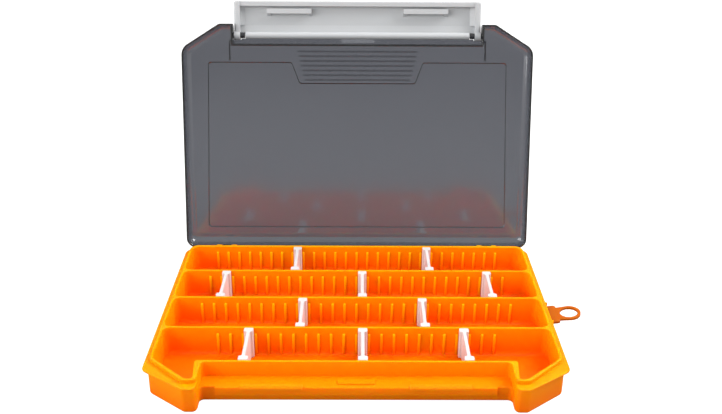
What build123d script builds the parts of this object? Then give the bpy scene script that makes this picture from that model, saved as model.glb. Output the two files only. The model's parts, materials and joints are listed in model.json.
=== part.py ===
from build123d import *
import math
import os

os.makedirs("parts", exist_ok=True)

# All sizes are in millimetres. X runs to the right, Y to the back and Z up.
# The origin is in the middle of the tray's underside.
# A "reach" is measured forward from the outer face of the tray's back wall.
# A "rise" is measured up from the rim, the level of the tray's wall tops.

# Clearances
running_clearance = 0.08
loose_gap = 0.4

# How far a piece runs into the one it is joined to
bite = 0.5

# Tray: compartments and walls
tray_height = 23.0
floor_thick = 1.2
row_count = 4
row_width = 36.3
partition_thick = 1.6
back_wall_thick = 2.4
panel_thick = 1.6
side_wall_thick = 1.8
pocket_corner_radius = 5.0
pocket_back_radius = 6.5
foot_cove_radius = 3.5
wall_top_radius = 0.6

# Tray: ribs that hold the dividers
rib_pitch = 8.69
rib_count_each_side = 13
front_rib_count_each_side = 11
rib_width = 1.5
rib_proud = 1.2
rib_top_drop = 5.2
end_room = 20.0

# Tray: lip round the outside
lip_width = 3.5
lip_thick = 1.2
lip_drop = 3.0
lip_back_radius = 8.0
lip_side_radius = 6.0
lip_front_radius = 5.0
lip_edge_radius = 0.5
wing_end_radius = 3.5
bottom_edge_radius = 2.2

# Tray: walls under the lip
wall_back_radius = 7.0
wall_side_radius = 5.0
wall_front_radius = 4.5

# Tray: front wings, recess and ledge
wing_reach = 24.4
wing_front_width = 8.5
wing_slant = 19.4
wing_wall_set_back = 1.6
wing_wall_slant_back = 0.9
recess_half_width = 100.5
recess_corner_radius = 3.0
ledge_reach = 10.8
ledge_drop = 11.4
ledge_thick = 1.6
ledge_wall_thick = 1.6
pocket_front_set_back = 7.2
pocket_slant_depth = 21.4
pocket_front_flat = 7.7
pocket_inner_gap = 2.4
pocket_inner_lean = 2.2
wing_pocket_radius = 2.0
rim_wall_thick = 1.8
rim_wall_slant_shift = 1.4
rim_wall_side_shift = 0.4

# Tray: band, catches and centre block on the ledge
band_half_width = 90.5
band_proud = 1.5
band_height = 6.0
catch_centre = 54.3
catch_width = 39.6
catch_proud = 1.4
catch_height = 2.4
catch_rise_over_ledge = 1.6
catch_bevel = 0.9
catch_bevel_depth = 1.4
block_half_width = 12.0
block_start = 4.3
block_depth = 4.7
block_height = 1.0

# Lid hinge
hinge_behind_wall = 2.4
hinge_drop = 2.7
knuckle_radius = 1.6
knuckle_start = 98.2
outer_knuckle_width = 4.0
middle_knuckle_width = 7.2
pin_radius = 0.75
pin_end_set_back = 0.3
lid_open_angle = 103.3

# Lid
lid_wall_thick = 1.4
lid_top_rise = 8.0
lid_overhang = 0.7
lid_seat_gap = 0.3
lid_back_overhang = 0.8
lid_front_set_back = 0.3
lid_back_radius = 7.5
lid_side_radius = 10.0
lid_front_radius = 5.0
lid_top_edge_radius = 7.0
lid_corner_inset_share = 0.5
lid_slant_inset_share = 0.3
lid_notch_half_width = 98.5
lid_notch_reach = 11.3
lid_notch_room = 5.0
skirt_reach = 8.6
skirt_end_gap = 0.7
skirt_foot_gap = 0.5
skirt_block_gap = 0.6
lid_rib_place = 102.0
lid_rib_thick = 1.0
lid_rib_depth = 3.0
lid_rib_length = 16.0

# Lid: raised panel and grip ribs
emboss_height = 0.6
emboss_back_half_width = 122.5
emboss_front_half_width = 119.9
emboss_back_margin = 14.7
emboss_front_margin = 17.55
emboss_corner_radius = 3.0
emboss_notch_back_half_width = 46.0
emboss_notch_front_half_width = 52.3
emboss_notch_depth = 16.8
grip_rib_count = 7
grip_rib_width = 0.9
grip_rib_pitch = 3.8
grip_rib_start = 8.55
grip_rib_front_half_width = 48.0
grip_rib_narrowing = 0.95

# Lid: stubs that carry the latch, and the lip of the notch behind the latch's barrel
latch_pivot_rise = 4.5
latch_pivot_reach = 3.55
stub_radius = 2.3
stub_length = 9.2
notch_lip_from_pivot = 2.6
slot_half_width = 13.0
slot_width = 3.0
slot_depth = 0.7

# Latch
latch_side_gap = 0.8
latch_cheek_width = 4.7
latch_length = 27.1
latch_end_radius = 2.0
barrel_radius = 2.8
barrel_end_gap = 0.6
latch_top_cheek_radius = 3.8
latch_inner_face = 3.0
latch_outer_face = 4.6
latch_facet_start = 1.8
latch_facet_inner = 2.15
latch_facet_end = 8.0
latch_shoulder_drop = 2.6
latch_shoulder_reach = 3.9
latch_shoulder_slope = 1.0
latch_head_reach = 2.9
latch_rim_height = 4.3
latch_rim_inner = 1.5
latch_cheek_inner = 2.5
latch_corner_radius = 1.2
cheek_bevel_width = 3.6
cheek_bevel_height = 2.2
hook_centre = 54.0
hook_width = 35.2
hook_thick = 3.9
hook_overlap = 1.0
hook_gap = 0.5
gusset_thick = 3.0
gusset_length = 2.3
gusset_set_back = 2.1
latch_open_angle = 90.0

# Dividers
divider_flange_width = 6.4
divider_flange_thick = 4.2
divider_web_thick = 2.2
divider_edge_radius = 1.0
divider_foot_radius = 4.2
divider_gap = 0.35
divider_places = {
    "back_left": (0, -5.5),
    "back_right": (0, 6.5),
    "second_left": (1, -11.5),
    "second_middle": (1, 0.5),
    "second_right": (1, 11.5),
    "third_left": (2, -4.5),
    "third_right": (2, 5.5),
    "front_left": (3, -8.5),
    "front_middle": (3, 0.5),
    "front_right": (3, 8.5),
}

# Hang loop on the right side
loop_reach = 90.2
loop_base_half_width = 10.2
loop_thick = 1.6
loop_base_length = 7.8
loop_base_corner_radius = 2.0
loop_knuckle_radius = 1.6
loop_axis_from_wall = 2.5
loop_axis_under_lip = 2.4
loop_trunnion_radius = 1.2
loop_trunnion_length = 1.7
loop_neck_start = 5.0
loop_neck_half_width = 7.0
loop_ring_centre = 16.0
loop_ring_radius = 8.0
loop_hole_centre = 15.6
loop_hole_half_length = 6.3
loop_hole_half_width = 5.9
loop_lug_thick = 2.0
loop_lug_radius = 2.2
loop_rest_tilt = 6.5

# Levels and places that follow from the sizes above
rim = tray_height
row_step = row_width + partition_thick
panel_front = back_wall_thick + row_count * row_step - partition_thick + panel_thick
tray_depth = panel_front + wing_reach
inner_half_width = rib_count_each_side * rib_pitch + end_room
wall_half_width = inner_half_width + side_wall_thick
lip_half_width = wall_half_width + lip_width
lip_top = rim - lip_drop
lip_bottom = lip_top - lip_thick
ledge_top = rim - ledge_drop
ledge_front = panel_front + ledge_reach
latch_half_width = lid_notch_half_width - latch_side_gap
cheek_inner_x = latch_half_width - latch_cheek_width
stub_end_x = lid_notch_half_width - stub_length


def y_at(reach):
    """Y of a place given by its distance forward from the back wall."""
    return tray_depth / 2 - reach


def slab(x_from, x_to, reach_from, reach_to, z_from, z_to):
    """Upright block between two X values, two reaches and two heights."""
    size = Box(x_to - x_from, reach_to - reach_from, z_to - z_from)
    middle = Pos((x_from + x_to) / 2, y_at((reach_from + reach_to) / 2), (z_from + z_to) / 2)
    return middle * size


def on_both_sides(shape):
    """The shape and its mirror image in the middle plane."""
    return shape + mirror(shape, about=Plane.YZ)


def prism(corners, z_from, z_to):
    """Upright prism over (x, reach, corner radius) corners."""
    points = [(x, y_at(reach)) for x, reach, radius in corners]
    radii = [radius for x, reach, radius in corners]
    outline = FilletPolyline(*points, radius=radii, close=True)
    return Pos(0, 0, z_from) * extrude(make_face(outline), z_to - z_from, dir=(0, 0, 1))


def symmetric_prism(half_corners, z_from, z_to):
    """Upright prism whose left half mirrors the given right half."""
    left = [(-x, reach, radius) for x, reach, radius in reversed(half_corners)]
    return prism(list(half_corners) + left, z_from, z_to)


def bar_along_x(corners, x_from, x_to):
    """Prism that runs along X, over (y, z, corner radius) corners."""
    points = [(0, y, z) for y, z, radius in corners]
    radii = [radius for y, z, radius in corners]
    outline = FilletPolyline(*points, radius=radii, close=True)
    return Pos(x_from, 0, 0) * extrude(make_face(outline), x_to - x_from, dir=(1, 0, 0))


def rod_along_x(radius, x_from, x_to, y, z):
    """Round rod along X."""
    rod = Rot(0, 90, 0) * Cylinder(radius, x_to - x_from)
    return Pos((x_from + x_to) / 2, y, z) * rod


def rod_along_y(radius, y_from, y_to, x, z):
    """Round rod along Y."""
    rod = Rot(90, 0, 0) * Cylinder(radius, y_to - y_from)
    return Pos(x, (y_from + y_to) / 2, z) * rod


def front_corners(half_width, slant_reach, front_reach, centre_reach, radii):
    """Right half of an outline with a wing and a recess at its front."""
    side_radius, front_radius, end_radius, inner_radius = radii
    return [
        (half_width, slant_reach, side_radius),
        (recess_half_width + wing_front_width, front_reach, front_radius),
        (recess_half_width, front_reach, end_radius),
        (recess_half_width, centre_reach, inner_radius),
    ]


hinge_y = y_at(-hinge_behind_wall)
hinge_z = rim - hinge_drop
lid_notch_front = panel_front + lid_notch_reach
skirt_front = panel_front + skirt_reach
skirt_back = skirt_front - lid_wall_thick
pivot_reach = lid_notch_front + latch_pivot_reach
pivot_y = y_at(pivot_reach)
pivot_z = rim + latch_pivot_rise
lid_rim = lip_top + lid_seat_gap
lid_top = rim + lid_top_rise
loop_axis_x = wall_half_width + loop_axis_from_wall
loop_axis_z = lip_bottom - loop_axis_under_lip
loop_y = y_at(loop_reach)


def row_start(row):
    """Reach of the back side of a row of compartments."""
    return back_wall_thick + row * row_step


def wall_corners(centre_reach):
    """Right half of the outline of the walls under the lip."""
    slant_reach = tray_depth - wing_slant - wing_wall_slant_back
    front_reach = tray_depth - wing_wall_set_back
    radii = (wall_side_radius, wall_front_radius, wing_end_radius, recess_corner_radius)
    corners = [(wall_half_width, 0, wall_back_radius)]
    return corners + front_corners(wall_half_width, slant_reach, front_reach, centre_reach, radii)


def lower_body():
    """Outside of the tray below its ledge, with a rounded bottom edge."""
    body = symmetric_prism(wall_corners(ledge_front), 0, ledge_top)
    bottom_edges = body.edges().group_by(Axis.Z)[0]
    return fillet(bottom_edges, bottom_edge_radius)


def upper_body():
    """Outside of the tray from its ledge up to its lip."""
    return symmetric_prism(wall_corners(panel_front), ledge_top, lip_top)


def lip():
    """Flat lip with rounded edges that the lid's edge comes down on."""
    corners = [(lip_half_width, 0, lip_back_radius)]
    slant_reach = tray_depth - wing_slant
    radii = (lip_side_radius, lip_front_radius, wing_end_radius, recess_corner_radius)
    corners += front_corners(lip_half_width, slant_reach, tray_depth, panel_front, radii)
    plate = symmetric_prism(corners, lip_bottom, lip_top)
    levels = plate.edges().group_by(Axis.Z)
    return fillet(levels[0] + levels[-1], lip_edge_radius)


pocket_front = tray_depth - pocket_front_set_back
pocket_slant_start = pocket_front - pocket_slant_depth
pocket_slant_end = recess_half_width + pocket_front_flat
pocket_inner_x = recess_half_width + pocket_inner_gap


def rim_wall():
    """Wall top that stands above the lip."""
    front_reach = pocket_front + rim_wall_thick
    corners = [
        (wall_half_width, 0, wall_back_radius),
        (wall_half_width, pocket_slant_start + rim_wall_side_shift, lip_side_radius),
        (pocket_slant_end + rim_wall_slant_shift, front_reach, lip_front_radius),
        (recess_half_width, front_reach, wing_end_radius),
        (recess_half_width, panel_front, recess_corner_radius),
    ]
    return symmetric_prism(corners, lip_top, rim)


def row_pocket(row):
    """Hollow of one straight row of compartments."""
    back = row_start(row)
    front = back + row_width
    back_radius = pocket_back_radius if row == 0 else pocket_corner_radius
    corners = [(inner_half_width, back, back_radius), (inner_half_width, front, pocket_corner_radius)]
    return symmetric_prism(corners, floor_thick, rim)


def front_row_pocket():
    """Hollow of the front row, whose end compartments run into the wings."""
    back = row_start(row_count - 1)
    front = back + row_width
    corners = [
        (inner_half_width, back, pocket_corner_radius),
        (inner_half_width, pocket_slant_start, lip_back_radius),
        (pocket_slant_end, pocket_front, lip_front_radius),
        (pocket_inner_x, pocket_front, wing_pocket_radius),
        (pocket_inner_x + pocket_inner_lean, front, wing_pocket_radius),
    ]
    return symmetric_prism(corners, floor_thick, rim)


def foot_cove(half_width, wall_reach, inward):
    """Hollow-curved foot of a long wall, on the side of the wall that inward points to."""
    centre_reach = wall_reach + inward * foot_cove_radius
    near, far = sorted((wall_reach - inward * bite, centre_reach))
    centre_z = floor_thick + foot_cove_radius
    block = slab(-half_width, half_width, near, far, floor_thick - bite, centre_z)
    return block - rod_along_x(foot_cove_radius, -half_width - 1, half_width + 1, y_at(centre_reach), centre_z)


def foot_coves(row):
    """Curved feet of the two long walls of a row."""
    back = row_start(row)
    front = back + row_width
    front_half_width = recess_half_width if row == row_count - 1 else inner_half_width
    return [foot_cove(inner_half_width, back, 1), foot_cove(front_half_width, front, -1)]


def ribs(row):
    """Upright ribs on the two long walls of a row."""
    back = row_start(row)
    front = back + row_width
    rib_count = front_rib_count_each_side if row == row_count - 1 else rib_count_each_side
    top = rim - rib_top_drop
    low = floor_thick - bite
    pieces = []
    for place in range(-rib_count, rib_count + 1):
        x = place * rib_pitch
        left = x - rib_width / 2
        right = x + rib_width / 2
        pieces.append(slab(left, right, back - bite, back + rib_proud, low, top))
        pieces.append(slab(left, right, front - rib_proud, front + bite, low, top))
    return pieces


def ledge_hollow():
    """Space under the ledge, open to the underside."""
    side = recess_half_width - ledge_wall_thick
    front = ledge_front - ledge_wall_thick
    hollow = slab(-side, side, panel_front, front, -1, ledge_top - ledge_thick)
    return hollow


def catch_bar():
    """One catch on the ledge's front edge, with a bevel for the latch's hook to ride over."""
    back = y_at(ledge_front - bite)
    front = y_at(ledge_front + band_proud + catch_proud)
    top = ledge_top + catch_rise_over_ledge
    low = top - catch_height
    corners = [
        (back, low, 0),
        (back, top, 0),
        (front + catch_bevel_depth, top, 0),
        (front, top - catch_bevel, 0),
        (front, low, 0),
    ]
    return bar_along_x(corners, catch_centre - catch_width / 2, catch_centre + catch_width / 2)


def ledge_details():
    """Front band, two catches and the centre block."""
    band = slab(
        -band_half_width,
        band_half_width,
        ledge_front - bite,
        ledge_front + band_proud,
        ledge_top - band_height,
        ledge_top,
    )
    block_from = panel_front + block_start
    block = slab(
        -block_half_width,
        block_half_width,
        block_from,
        block_from + block_depth,
        ledge_top - bite,
        ledge_top + block_height,
    )
    return [band, block, on_both_sides(catch_bar())]


middle_knuckle_start = knuckle_start + outer_knuckle_width + loose_gap
outer_knuckle_start = middle_knuckle_start + middle_knuckle_width + loose_gap
knuckle_end = outer_knuckle_start + outer_knuckle_width


def tray_knuckle(x_from, x_to):
    """Hinge knuckle on the tray's back wall."""
    barrel = rod_along_x(knuckle_radius, x_from, x_to, hinge_y, hinge_z)
    web = slab(x_from, x_to, -hinge_behind_wall, bite, hinge_z - knuckle_radius, hinge_z)
    return barrel + web


def tray_knuckles():
    """Both knuckles of the right hinge, bored for the pin."""
    inner = tray_knuckle(knuckle_start, knuckle_start + outer_knuckle_width)
    outer = tray_knuckle(outer_knuckle_start, knuckle_end)
    bore = rod_along_x(pin_radius, knuckle_start - 1, knuckle_end + 1, hinge_y, hinge_z)
    return inner + outer, bore


def loop_lug(side):
    """Lug under the lip with a hole for one trunnion of the hang loop."""
    near = loop_base_half_width + loose_gap
    y_from = loop_y + side * near
    y_to = loop_y + side * (near + loop_lug_thick)
    low, high = min(y_from, y_to), max(y_from, y_to)
    barrel = rod_along_y(loop_lug_radius, low, high, loop_axis_x, loop_axis_z)
    arm = Pos((loop_axis_x + wall_half_width - bite) / 2, (low + high) / 2, loop_axis_z)
    arm_box = Box(loop_axis_x - wall_half_width + bite, high - low, 2 * loop_lug_radius)
    tie_box = Box(2 * loop_lug_radius, high - low, lip_bottom + bite - loop_axis_z)
    tie = Pos(loop_axis_x, (low + high) / 2, (lip_bottom + bite + loop_axis_z) / 2)
    bore = rod_along_y(loop_trunnion_radius + running_clearance, low - 1, high + 1, loop_axis_x, loop_axis_z)
    return barrel + arm * arm_box + tie * tie_box - bore


def tray():
    """The tray in one piece: floor, walls, partitions, lip, ledge and hinge knuckles."""
    body = lower_body() + upper_body() + lip() + rim_wall()
    for row in range(row_count - 1):
        body -= row_pocket(row)
    body -= front_row_pocket()
    top_edges = body.edges().group_by(Axis.Z)[-1]
    body = fillet(top_edges, wall_top_radius)
    body -= ledge_hollow()
    for row in range(row_count):
        body += foot_coves(row)
        body += ribs(row)
    body += ledge_details()
    knuckles, bore = tray_knuckles()
    body += on_both_sides(knuckles)
    body -= on_both_sides(bore)
    body += loop_lug(1)
    body += loop_lug(-1)
    return body


lid_half_width = lip_half_width + lid_overhang
lid_front = tray_depth - lid_front_set_back
lid_back = -hinge_behind_wall - lid_back_overhang


def lid_shape(inset):
    """Closed lid without its notch, smaller by an inset on every face but the open one."""
    slant_shift = inset * lid_slant_inset_share
    radius_shift = inset * lid_corner_inset_share
    slant_end = recess_half_width + wing_front_width
    corners = [
        (lid_half_width - inset, lid_back + inset, lid_back_radius - inset),
        (lid_half_width - inset, tray_depth - wing_slant - slant_shift, lid_side_radius - radius_shift),
        (slant_end - slant_shift, lid_front - inset, lid_front_radius - radius_shift),
    ]
    shape = symmetric_prism(corners, lid_rim, lid_top - inset)
    top_edges = shape.edges().group_by(Axis.Z)[-1]
    return fillet(top_edges, lid_top_edge_radius - inset)


def lid_notch(half_width, reach):
    """Room at the lid's front centre for the latch."""
    end = tray_depth + lid_notch_room
    return slab(-half_width, half_width, reach, end, lid_rim - lid_notch_room, lid_top + lid_notch_room)


def lid_outside():
    """Closed lid's outer form, with the notch for the latch."""
    return lid_shape(0) - lid_notch(lid_notch_half_width, lid_notch_front)


def lid_cavity():
    """Space inside the closed lid, which ends at the skirt's back face."""
    notch = lid_notch(lid_notch_half_width + lid_wall_thick, skirt_back)
    return lid_shape(lid_wall_thick) - notch


def emboss_outline(shift, z):
    """Outline of the raised panel at a level, moved inward by a shift."""
    back = lid_back + emboss_back_margin + shift
    front = lid_notch_front - emboss_front_margin - shift
    notch_back = front - emboss_notch_depth
    half_corners = [
        (emboss_back_half_width - shift, back, emboss_corner_radius),
        (emboss_front_half_width - shift, front, emboss_corner_radius),
        (emboss_notch_front_half_width + shift, front, emboss_corner_radius / 2),
        (emboss_notch_back_half_width + shift, notch_back, emboss_corner_radius / 2),
    ]
    corners = half_corners + [(-x, reach, radius) for x, reach, radius in reversed(half_corners)]
    points = [(x, y_at(reach)) for x, reach, radius in corners]
    radii = [radius for x, reach, radius in corners]
    return Pos(0, 0, z) * make_face(FilletPolyline(*points, radius=radii, close=True))


def emboss_panel(level):
    """Raised panel with sloped edges, over a level, with a notch for the grip ribs."""
    low = emboss_outline(-bite, level - bite)
    high = emboss_outline(emboss_height, level + emboss_height)
    return loft([low, high], ruled=True)


def grip_ribs():
    """Ridges across the front of the lid's top for the thumbs."""
    pieces = []
    for place in range(grip_rib_count):
        front = lid_notch_front - grip_rib_start - place * grip_rib_pitch
        half = grip_rib_front_half_width - place * grip_rib_narrowing
        pieces.append(slab(-half, half, front - grip_rib_width, front, lid_top - bite, lid_top + emboss_height))
    return pieces


def front_skirt():
    """Wall under the lid's notch that closes the tray's recess."""
    half = lid_notch_half_width - skirt_end_gap
    low = ledge_top + skirt_foot_gap
    wall = slab(-half, half, skirt_back, skirt_front, low, lid_rim + 1)
    room_half_width = block_half_width + skirt_block_gap
    room_top = ledge_top + block_height + skirt_block_gap
    room = slab(-room_half_width, room_half_width, skirt_back - 1, skirt_front + 1, low - 1, room_top)
    return wall - room


def under_notch_lip():
    """Room under the strip of the lid's top that reaches forward of the skirt."""
    half = lid_notch_half_width
    return slab(-half, half, skirt_front, lid_notch_front + 1, lid_rim - 1, lid_top - lid_wall_thick)


def notch_lip():
    """The strip's middle, which comes close to the latch's barrel and has a shallow slot on its inside."""
    half = cheek_inner_x - loose_gap
    front = pivot_reach - notch_lip_from_pivot
    inner_top = lid_top - lid_wall_thick
    strip = slab(-half, half, lid_notch_front - bite, front, inner_top, lid_top)
    return strip


def notch_slot():
    """Shallow slot in the inside of the notch's lip."""
    inner_top = lid_top - lid_wall_thick
    front = pivot_reach - notch_lip_from_pivot
    back = front - slot_width
    return slab(-slot_half_width, slot_half_width, back, front + 1, inner_top - 1, inner_top + slot_depth)


def lid_rib():
    """Rib inside the lid's right wing, beside the notch."""
    left = lid_rib_place - lid_rib_thick / 2
    right = lid_rib_place + lid_rib_thick / 2
    inner_top = lid_top - lid_wall_thick
    start = lid_notch_front - lid_rib_length
    return slab(left, right, start, lid_notch_front, inner_top - lid_rib_depth, inner_top + bite)


def latch_stub():
    """Stub that stands inward from the right side of the notch and carries the latch."""
    return rod_along_x(stub_radius, stub_end_x, lid_notch_half_width + bite, pivot_y, pivot_z)


def lid_knuckle_room(x_from, x_to):
    """Room in the lid's back wall for a knuckle of the tray."""
    return rod_along_x(knuckle_radius + loose_gap, x_from - loose_gap, x_to + loose_gap, hinge_y, hinge_z)


def closed_lid():
    """The lid as it lies on the tray."""
    body = lid_outside() + emboss_panel(lid_top)
    body -= lid_cavity()
    body -= emboss_panel(lid_top - lid_wall_thick)
    body -= under_notch_lip()
    body += grip_ribs()
    body += front_skirt()
    body += notch_lip()
    body -= notch_slot()
    body += on_both_sides(lid_rib())
    body += on_both_sides(latch_stub())
    rooms = lid_knuckle_room(knuckle_start, knuckle_start + outer_knuckle_width)
    rooms += lid_knuckle_room(outer_knuckle_start, knuckle_end)
    body -= on_both_sides(rooms)
    middle_end = middle_knuckle_start + middle_knuckle_width
    body += on_both_sides(rod_along_x(knuckle_radius, middle_knuckle_start, middle_end, hinge_y, hinge_z))
    bore_radius = pin_radius + running_clearance
    bore = rod_along_x(bore_radius, middle_knuckle_start - 1, middle_end + 1, hinge_y, hinge_z)
    return body - on_both_sides(bore)


def latch_corner(forward, up, radius=0):
    """Corner of the latch's section, from distances forward of and above its pivot."""
    return (pivot_y - forward, pivot_z + up, radius)


def latch_plate():
    """The latch's skin between its cheeks, with the thick rim that the fingers pull."""
    rim_top = latch_rim_height - latch_length
    corners = [
        latch_corner(latch_head_reach, -loose_gap),
        latch_corner(latch_shoulder_reach, -latch_shoulder_slope),
        latch_corner(latch_outer_face, -latch_shoulder_drop),
        latch_corner(latch_outer_face, -latch_length, latch_corner_radius),
        latch_corner(-latch_rim_inner, -latch_length, latch_corner_radius),
        latch_corner(-latch_rim_inner, rim_top, latch_corner_radius / 2),
        latch_corner(latch_inner_face, rim_top, latch_corner_radius / 2),
        latch_corner(latch_inner_face, -latch_facet_end),
        latch_corner(latch_facet_inner, -latch_facet_start),
    ]
    half = latch_half_width - latch_end_radius - bite
    return bar_along_x(corners, -half, half)


def latch_barrel():
    """Round bar on the latch's pivot line, between the lid's stubs, with the web that joins it to the skin."""
    half = stub_end_x - barrel_end_gap
    web = [
        latch_corner(0, 0),
        latch_corner(0, barrel_radius),
        latch_corner(latch_shoulder_reach, -latch_shoulder_slope),
        latch_corner(latch_facet_inner + bite, -latch_facet_start - bite),
    ]
    return rod_along_x(barrel_radius, -half, half, pivot_y, pivot_z) + bar_along_x(web, -half, half)


def latch_cheek():
    """The right cheek, with a round head and a bore for the lid's stub."""
    corners = [
        latch_corner(latch_outer_face, -latch_shoulder_drop),
        latch_corner(latch_outer_face, -latch_length, latch_corner_radius),
        latch_corner(-latch_cheek_inner, -latch_length, latch_corner_radius),
        latch_corner(-latch_cheek_inner, -latch_shoulder_slope),
    ]
    side = bar_along_x(corners, cheek_inner_x, latch_half_width)
    end_edge = side.edges().filter_by(Axis.Y).group_by(Axis.Z)[0].sort_by(Axis.X)[-1]
    side = fillet(end_edge, latch_end_radius)
    head = rod_along_x(latch_top_cheek_radius, cheek_inner_x, latch_half_width, pivot_y, pivot_z)
    bore_radius = stub_radius + running_clearance
    bore = rod_along_x(bore_radius, cheek_inner_x - 1, latch_half_width + 1, pivot_y, pivot_z)
    return side + head - bore


hook_top = ledge_top + catch_rise_over_ledge - catch_height - hook_gap - pivot_z
hook_tip = pivot_reach - (ledge_front + band_proud + catch_proud) + hook_overlap


def cheek_bevel():
    """Sloped fillet between the right cheek and the skin."""
    inner_x = cheek_inner_x
    root_reach = pivot_reach + latch_inner_face + bite
    corners = [
        (inner_x + bite, root_reach, 0),
        (inner_x + bite, root_reach - bite - cheek_bevel_height, 0),
        (inner_x, root_reach - bite - cheek_bevel_height, 0),
        (inner_x - cheek_bevel_width, root_reach - bite, 0),
        (inner_x - cheek_bevel_width, root_reach, 0),
    ]
    low = pivot_z - latch_length + latch_rim_height - bite
    return prism(corners, low, pivot_z - latch_facet_end)


def latch_hook():
    """The right hook, stiffened by a gusset at each end."""
    low = hook_top - hook_thick
    root = latch_inner_face + bite
    corners = [
        latch_corner(root, hook_top),
        latch_corner(-hook_tip, hook_top),
        latch_corner(-hook_tip, low),
        latch_corner(root, low),
    ]
    left = hook_centre - hook_width / 2
    hook = bar_along_x(corners, left, left + hook_width)
    gusset = [
        latch_corner(root, hook_top - bite),
        latch_corner(-hook_tip + gusset_set_back, hook_top - bite),
        latch_corner(-hook_tip + gusset_set_back, hook_top),
        latch_corner(root, hook_top + gusset_length),
    ]
    hook += bar_along_x(gusset, left, left + gusset_thick)
    hook += bar_along_x(gusset, left + hook_width - gusset_thick, left + hook_width)
    return hook


def closed_latch():
    """The latch as it hangs on the closed box."""
    body = latch_plate() + latch_barrel() + on_both_sides(latch_cheek())
    return body + on_both_sides(cheek_bevel()) + on_both_sides(latch_hook())


def opened_with_lid(shape):
    """The shape carried round the lid's hinge to the open lid."""
    return shape.rotate(Axis((0, hinge_y, hinge_z), (-1, 0, 0)), lid_open_angle)


def opened_latch(shape):
    """The latch swung out in line with the lid, before the lid opens."""
    return shape.rotate(Axis((0, pivot_y, pivot_z), (-1, 0, 0)), latch_open_angle)


def divider(row, place):
    """One loose divider with a flange at each end that stands between two ribs."""
    x = place * rib_pitch
    back = row_start(row) + divider_gap
    front = row_start(row) + row_width - divider_gap
    low = floor_thick + divider_gap
    half_flange = divider_flange_width / 2
    half_web = divider_web_thick / 2
    corners = [
        (half_flange, back, divider_edge_radius),
        (half_flange, back + divider_flange_thick, divider_edge_radius),
        (half_web, back + divider_flange_thick, divider_edge_radius),
        (half_web, front - divider_flange_thick, divider_edge_radius),
        (half_flange, front - divider_flange_thick, divider_edge_radius),
        (half_flange, front, divider_edge_radius),
    ]
    plan = symmetric_prism(corners, low, rim)
    side_view = [
        (y_at(back), rim, 0),
        (y_at(back), low, divider_foot_radius),
        (y_at(front), low, divider_foot_radius),
        (y_at(front), rim, 0),
    ]
    return Pos(x, 0, 0) * (plan & bar_along_x(side_view, -half_flange, half_flange))


def loop_outline():
    """Flat shape of the hang loop, with its hole, starting at its hinge line."""
    base = Pos(loop_base_length / 2, 0) * Rectangle(loop_base_length, 2 * loop_base_half_width)
    base = fillet(base.vertices().group_by(Axis.X)[-1], loop_base_corner_radius)
    neck = Polygon(
        (loop_neck_start, -loop_neck_half_width),
        (loop_ring_centre, -loop_ring_radius),
        (loop_ring_centre, loop_ring_radius),
        (loop_neck_start, loop_neck_half_width),
        align=None,
    )
    ring = Pos(loop_ring_centre, 0) * Circle(loop_ring_radius)
    hole = Pos(loop_hole_centre, 0) * Ellipse(loop_hole_half_length, loop_hole_half_width)
    return base + neck + ring - hole


def hang_loop():
    """The hang loop, tilted a little up, with a trunnion at each side."""
    plate = Pos(0, 0, -loop_thick / 2) * extrude(loop_outline(), loop_thick)
    plate = Pos(loop_axis_x, loop_y, loop_axis_z) * plate
    near = loop_y - loop_base_half_width
    far = loop_y + loop_base_half_width
    knuckle = rod_along_y(loop_knuckle_radius, near, far, loop_axis_x, loop_axis_z)
    trunnions = rod_along_y(
        loop_trunnion_radius,
        near - loop_trunnion_length,
        far + loop_trunnion_length,
        loop_axis_x,
        loop_axis_z,
    )
    loop = plate + knuckle + trunnions
    return loop.rotate(Axis((loop_axis_x, loop_y, loop_axis_z), (0, -1, 0)), loop_rest_tilt)


def hinge_pin(side):
    """Straight pin of one hinge, pressed into the tray's knuckles."""
    near = knuckle_start + pin_end_set_back
    far = knuckle_end - pin_end_set_back
    start, end = sorted((side * near, side * far))
    return rod_along_x(pin_radius, start, end, hinge_y, hinge_z)


export_step(tray(), "parts/tray.step")
export_step(opened_with_lid(closed_lid()), "parts/lid.step")
export_step(opened_with_lid(opened_latch(closed_latch())), "parts/latch.step")
export_step(hinge_pin(-1), "parts/hinge_pin_left.step")
export_step(hinge_pin(1), "parts/hinge_pin_right.step")
for name, (row, place) in divider_places.items():
    export_step(divider(row, place), f"parts/divider_{name}.step")
export_step(hang_loop(), "parts/hang_loop.step")
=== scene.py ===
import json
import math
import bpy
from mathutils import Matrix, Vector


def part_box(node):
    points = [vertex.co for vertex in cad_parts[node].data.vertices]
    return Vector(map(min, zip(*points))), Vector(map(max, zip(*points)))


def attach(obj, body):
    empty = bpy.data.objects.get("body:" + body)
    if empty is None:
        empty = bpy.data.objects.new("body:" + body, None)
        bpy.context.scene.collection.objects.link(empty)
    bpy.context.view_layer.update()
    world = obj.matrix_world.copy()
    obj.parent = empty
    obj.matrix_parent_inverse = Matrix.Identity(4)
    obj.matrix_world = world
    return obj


bl_info = {
    "name": "Divided box with a hinged lid",
    "version": (1, 0, 0),
    "blender": (4, 5, 0),
    "location": "3D View > Sidebar > Divided Box",
    "description": "Dresses the divided box, its lid, latch, dividers and hang loop, and sets up the studio",
    "category": "Object",
}

import bpy
from mathutils import Matrix, Vector

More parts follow.
